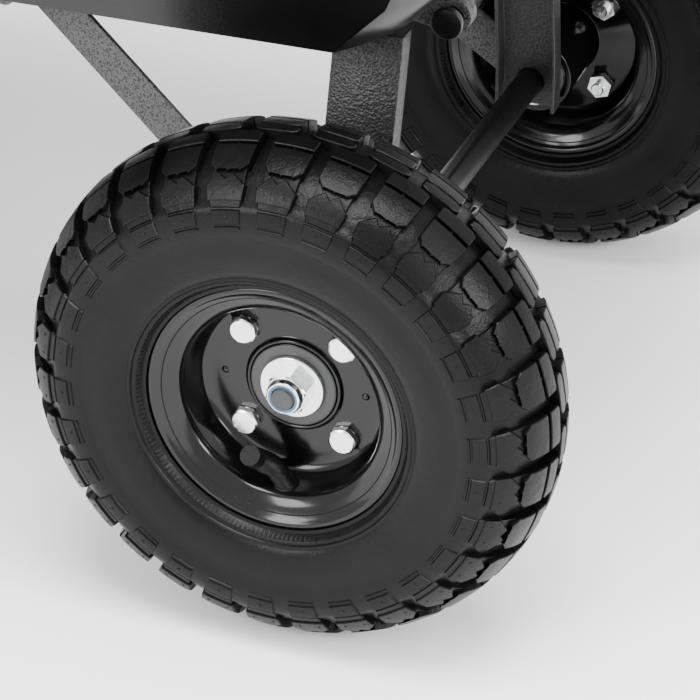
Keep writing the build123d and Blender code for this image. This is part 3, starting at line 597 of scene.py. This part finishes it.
def hex_head(bm, across, low, high, chamfer, at=(0.0, 0.0), turn=0.0):
    """A hexagonal head along X whose corners are turned down at its outer end."""
    corner = across / math.sqrt(3)
    per_side = 4
    levels = [(low, 0.0), (high - chamfer, 0.0), (high - chamfer * 0.45, 0.45), (high, 1.0)]
    rings = []
    for x, f in levels:
        ring = []
        for k in range(6 * per_side):
            a0 = math.radians(60 * (k // per_side) + turn)
            a1 = a0 + math.pi / 3
            part = (k % per_side) / per_side
            y = corner * (math.sin(a0) * (1 - part) + math.sin(a1) * part)
            z = corner * (math.cos(a0) * (1 - part) + math.cos(a1) * part)
            r = math.hypot(y, z)
            limit = corner - (corner - across / 2 * HEAD_FACE) * f
            scale = min(1.0, limit / r)
            ring.append(bm.verts.new((x * MM, (y * scale + at[0]) * MM, (z * scale + at[1]) * MM)))
        rings.append(ring)
    for a, b in zip(rings, rings[1:]):
        for k in range(len(a)):
            bm.faces.new((a[k], a[(k + 1) % len(a)], b[(k + 1) % len(a)], b[k]))
    for ring in (rings[0], rings[-1]):
        bm.faces.new(ring)


def turned(bm, profile, at, segments=32):
    """A turned shape whose axis is parallel to X and passes through at, a place in Y and Z."""
    for ring in lathe(bm, profile, segments):
        for vert in ring:
            vert.co.y += at[0] * MM
            vert.co.z += at[1] * MM


BOLT_CIRCLE = 35.5                      # radius
BOLT_ACROSS = 12.9                      # across the flats of a rim bolt's head and nut


def bolt_places():
    turns = [math.radians(45 + 90 * k) for k in range(4)]
    return [(BOLT_CIRCLE * math.sin(a), BOLT_CIRCLE * math.cos(a)) for a in turns]


def rim_bolts():
    """The four bolts that clamp each rim's halves, and their nuts."""
    for wheel in WHEELS:
        bm = bmesh.new()
        for k, at in enumerate(bolt_places()):
            turned(bm, [(DISC_X + 0.02, 6.4), (DISC_X + 0.5, 6.5), (DISC_X + 0.7, 6.2)], at)
            hex_head(bm, BOLT_ACROSS, DISC_X + 0.6, DISC_X + 4.6, 1.1, at, turn=17.0 * k)
            turned(bm, [(DISC_X, 3.9), (-15.5, 3.9), (-16.4, 3.2), (-16.5, 0.0)], at)
        piece(wheel + "_hex_bolts", bm, [ZINC], wheel, wheel + "_rim_bolts", sharp=15)
        bm = bmesh.new()
        for k, at in enumerate(bolt_places()):
            hex_head(bm, BOLT_ACROSS, -11.4, -5.1, 0.9, at, turn=23.0 * k)
            hex_head(bm, BOLT_ACROSS, -11.2, -11.5, -0.1, at, turn=23.0 * k)
        piece(wheel + "_hex_nuts", bm, [ZINC], wheel, wheel + "_rim_nuts", sharp=15)


WASHER_FROM, WASHER_TO = 4.7, 7.1       # outer washer's faces, outboard of the wheel's middle
WASHER_R = 16.2
SPACER_FROM, SPACER_LENGTH = 62.2, 5.4  # inner spacer, inboard of the wheel's middle
BEARING_BORE_R = 8.1
AXLE_NUT_ACROSS = 18.9
THREAD_PITCH = 1.75


def axle_ends():
    """Washers, lock nuts with their nylon rings, and the axles with threaded ends."""
    for end in ("rear", "front"):
        at = centre(end + "_axle")
        half = reach(end + "_axle", 0) / 2 / MM
        track = WHEEL_AT[end + "_left"].x / MM
        washers, nuts, bar = bmesh.new(), bmesh.new(), bmesh.new()
        low, high = track + WASHER_FROM, track + WASHER_TO
        washer = [(low, 6.2), (low, WASHER_R - 0.2), (low + 0.3, WASHER_R), (high - 0.5, WASHER_R),
                  (high, WASHER_R - 0.6), (high, 6.9), (high - 0.3, 6.2)]
        lathe(washers, rounded(washer, 0.3, 2), segments=80, closed=True)
        seat = track - SPACER_FROM
        inboard = seat - SPACER_LENGTH
        spacer = [(inboard, BEARING_BORE_R), (inboard, WASHER_R - 0.3), (seat, WASHER_R),
                  (seat, BEARING_BORE_R)]
        lathe(washers, spacer, segments=64, closed=True)
        hex_head(nuts, AXLE_NUT_ACROSS, high + 0.05, high + 8.1, 1.2, turn=12.0)
        lathe(nuts, rounded([(high + 7.8, 9.2), (high + 8.4, 8.9), (high + 10.3, 8.5), (high + 10.9, 7.9),
                             (high + 10.95, 7.4)], 0.4, 3), segments=64)
        lathe(nuts, [(high + 10.95, 7.45), (high + 10.7, 7.3), (high + 10.7, 6.1), (high + 9.0, 6.05)],
              segments=64, material=1)
        thread_end(bar, half, low)
        for bm in (washers, nuts, bar):
            mirror_copy(bm)
            bmesh.ops.translate(bm, verts=bm.verts[:], vec=(0.0, at.y, at.z))
        piece(end + "_washers_round", washers, [ZINC], node=end + "_axle_washers")
        piece(end + "_lock_nuts", nuts, [ZINC, NYLON], node=end + "_axle_nuts", sharp=15)
        piece(end + "_axle_bar", bar, [AXLE_PAINT, THREAD_END], node=end + "_axle")


def thread_end(bm, half, shoulder):
    """Half of an axle: painted bar, then a threaded end with a slightly sunk tip."""
    lathe(bm, [(0.0, 8.0), (shoulder - 0.6, 8.0), (shoulder, 7.4), (shoulder, 6.0)], segments=48)
    profile = [(shoulder, 6.0)]
    x = shoulder + 0.4
    while x < half - 1.2:
        profile += [(x, 6.0), (x + THREAD_PITCH * 0.5, 5.2)]
        x += THREAD_PITCH
    profile += [(half - 0.5, 5.5), (half - 0.12, 4.9), (half - 0.1, 4.2), (half - 0.3, 2.0),
                (half - 0.3, 0.0)]
    lathe(bm, profile, segments=48, material=1)


def mirror_copy(bm):
    """Adds the mirror image across the YZ plane."""
    copy = bmesh.ops.duplicate(bm, geom=bm.verts[:] + bm.edges[:] + bm.faces[:])["geom"]
    for item in copy:
        if isinstance(item, bmesh.types.BMVert):
            item.co.x = -item.co.x
    bmesh.ops.reverse_faces(bm, faces=[f for f in copy if isinstance(f, bmesh.types.BMFace)])
    bmesh.ops.remove_doubles(bm, verts=[v for v in bm.verts if abs(v.co.x) < 1e-7], dist=1e-6)


# ---------------------------------------------------------------- frame, tub and drawbar: eased edges
def eased(node, material, width, segments=2, angle=35.0):
    """The node's own shape with its sharp edges rounded, as a new piece."""
    bm = bmesh.new()
    bm.from_mesh(frame["nodes"][node].data)
    bmesh.ops.transform(bm, matrix=frame["nodes"][node].matrix_world, verts=bm.verts[:])
    bmesh.ops.remove_doubles(bm, verts=bm.verts[:], dist=2e-6)
    bmesh.ops.dissolve_limit(bm, angle_limit=math.radians(0.6), verts=bm.verts[:], edges=bm.edges[:])
    limit = math.radians(angle)
    edges = [e for e in bm.edges if len(e.link_faces) == 2 and e.calc_face_angle(0.0) > limit]
    bmesh.ops.bevel(bm, geom=edges, offset=width * MM, offset_type="OFFSET", segments=segments, profile=0.5,
                    affect="EDGES", clamp_overlap=True)
    bmesh.ops.triangulate(bm, faces=[f for f in bm.faces if len(f.verts) > 4])
    piece(node + "_eased", bm, [material], node=node, sharp=40)


def frame_parts():
    for node in ("side_rails", "cross_members", "rear_braces", "turntable_plate", "front_beam",
                 "steering_yoke", "drawbar", "tub_hinge_plates", "latch_lever", "latch_striker", "grip_bail"):
        eased(node, FRAME_PAINT, 0.7)
    # The legs take the darker copy of the frame paint, which is painted shade
    for node in ("rear_legs", "front_legs"):
        eased(node, SHADED_FRAME_PAINT, 0.9, segments=3)
    eased("hinge_pin", AXLE_PAINT, 0.5)
    for node in ("latch_pin", "king_pin", "drawbar_pin", "hitch_pin", "bail_pin", "tub_bolts"):
        eased(node, ZINC, 0.5)
    for wheel in WHEELS:
        eased(wheel + "_hub", RIM_PAINT, 0.5)
    eased("tub", TUB_PLASTIC, 1.6, segments=3, angle=18.0)


def grip():
    """A ribbed rubber sleeve with a flange at each end."""
    at = centre("handle_grip")
    half = reach("handle_grip", 0) / 2 / MM
    r = reach("handle_grip", 2) / 2 / MM
    profile = [(-half, 5.2), (-half, r - 1.0), (-half + 1.0, r), (-half + 3.5, r), (-half + 4.5, r - 1.8)]
    x = -half + 6.0
    while x < half - 7.0:
        profile += [(x, r - 1.8), (x + 0.8, r - 0.9), (x + 2.4, r - 0.9), (x + 3.2, r - 1.8)]
        x += 4.0
    profile += [(half - 4.5, r - 1.8), (half - 3.5, r), (half - 1.0, r), (half, r - 1.0), (half, 5.2)]
    bm = bmesh.new()
    lathe(bm, profile, segments=64, closed=True)
    bmesh.ops.translate(bm, verts=bm.verts[:], vec=at)
    piece("ribbed_grip", bm, [GRIP_RUBBER], node="handle_grip")


# ---------------------------------------------------------------- floor, light, camera
def floor():
    mesh = bpy.data.meshes.new("floor")
    half = 8.0
    corners = [(-half, -half, 0), (half, -half, 0), (half, half, 0), (-half, half, 0)]
    mesh.from_pydata(corners, [], [(0, 1, 2, 3)])
    item = bpy.data.objects.new("floor", mesh)
    bpy.context.scene.collection.objects.link(item)
    material = shader("floor_look", Base_Color=(0.93, 0.93, 0.93, 1.0), Roughness=0.9)[0]
    mesh.materials.append(material)


def softbox(name, at, target, size, power):
    data = bpy.data.lights.new(name, "AREA")
    data.shape = "RECTANGLE"
    data.size, data.size_y = size
    data.energy = power
    item = bpy.data.objects.new(name, data)
    bpy.context.scene.collection.objects.link(item)
    item.location = at
    item.rotation_euler = (Vector(target) - Vector(at)).to_track_quat("-Z", "Y").to_euler()


def studio():
    world = bpy.data.worlds.new("studio")
    bpy.context.scene.world = world
    world.use_nodes = True
    background = world.node_tree.nodes["Background"]
    background.inputs["Color"].default_value = (1.0, 1.0, 1.0, 1.0)
    background.inputs["Strength"].default_value = 1.7
    middle = (0.1, 0.4, 0.2)
    softbox("top", (0.6, 0.9, 2.6), middle, (1.6, 1.2), 150.0)
    softbox("left", (2.4, -0.6, 1.5), middle, (0.9, 1.4), 70.0)
    softbox("rear", (0.9, 3.0, 1.4), middle, (1.4, 0.7), 70.0)


CAMERA_REACH = 1.364        # metres from the near wheel's centre
CAMERA_AZIMUTH, CAMERA_ELEVATION = 22.18, 30.86
AXIS_AZIMUTH, AXIS_ELEVATION = 20.945, 30.25
FOCAL = 147.9
SENSOR = 36.0


def direction(azimuth, elevation):
    a, e = math.radians(azimuth), math.radians(elevation)
    return Vector((math.cos(e) * math.cos(a), math.cos(e) * math.sin(a), math.sin(e)))


def camera():
    data = bpy.data.cameras.new("camera")
    data.lens = FOCAL
    data.sensor_width = SENSOR
    item = bpy.data.objects.new("camera", data)
    bpy.context.scene.collection.objects.link(item)
    item.location = WHEEL_AT["rear_left"] + direction(CAMERA_AZIMUTH, CAMERA_ELEVATION) * CAMERA_REACH
    item.rotation_euler = (-direction(AXIS_AZIMUTH, AXIS_ELEVATION)).to_track_quat("-Z", "Y").to_euler()
    bpy.context.scene.camera = item


camera()
studio()
floor()
tyres()
rims()
valves()
bearings()
rim_bolts()
axle_ends()
frame_parts()
grip()
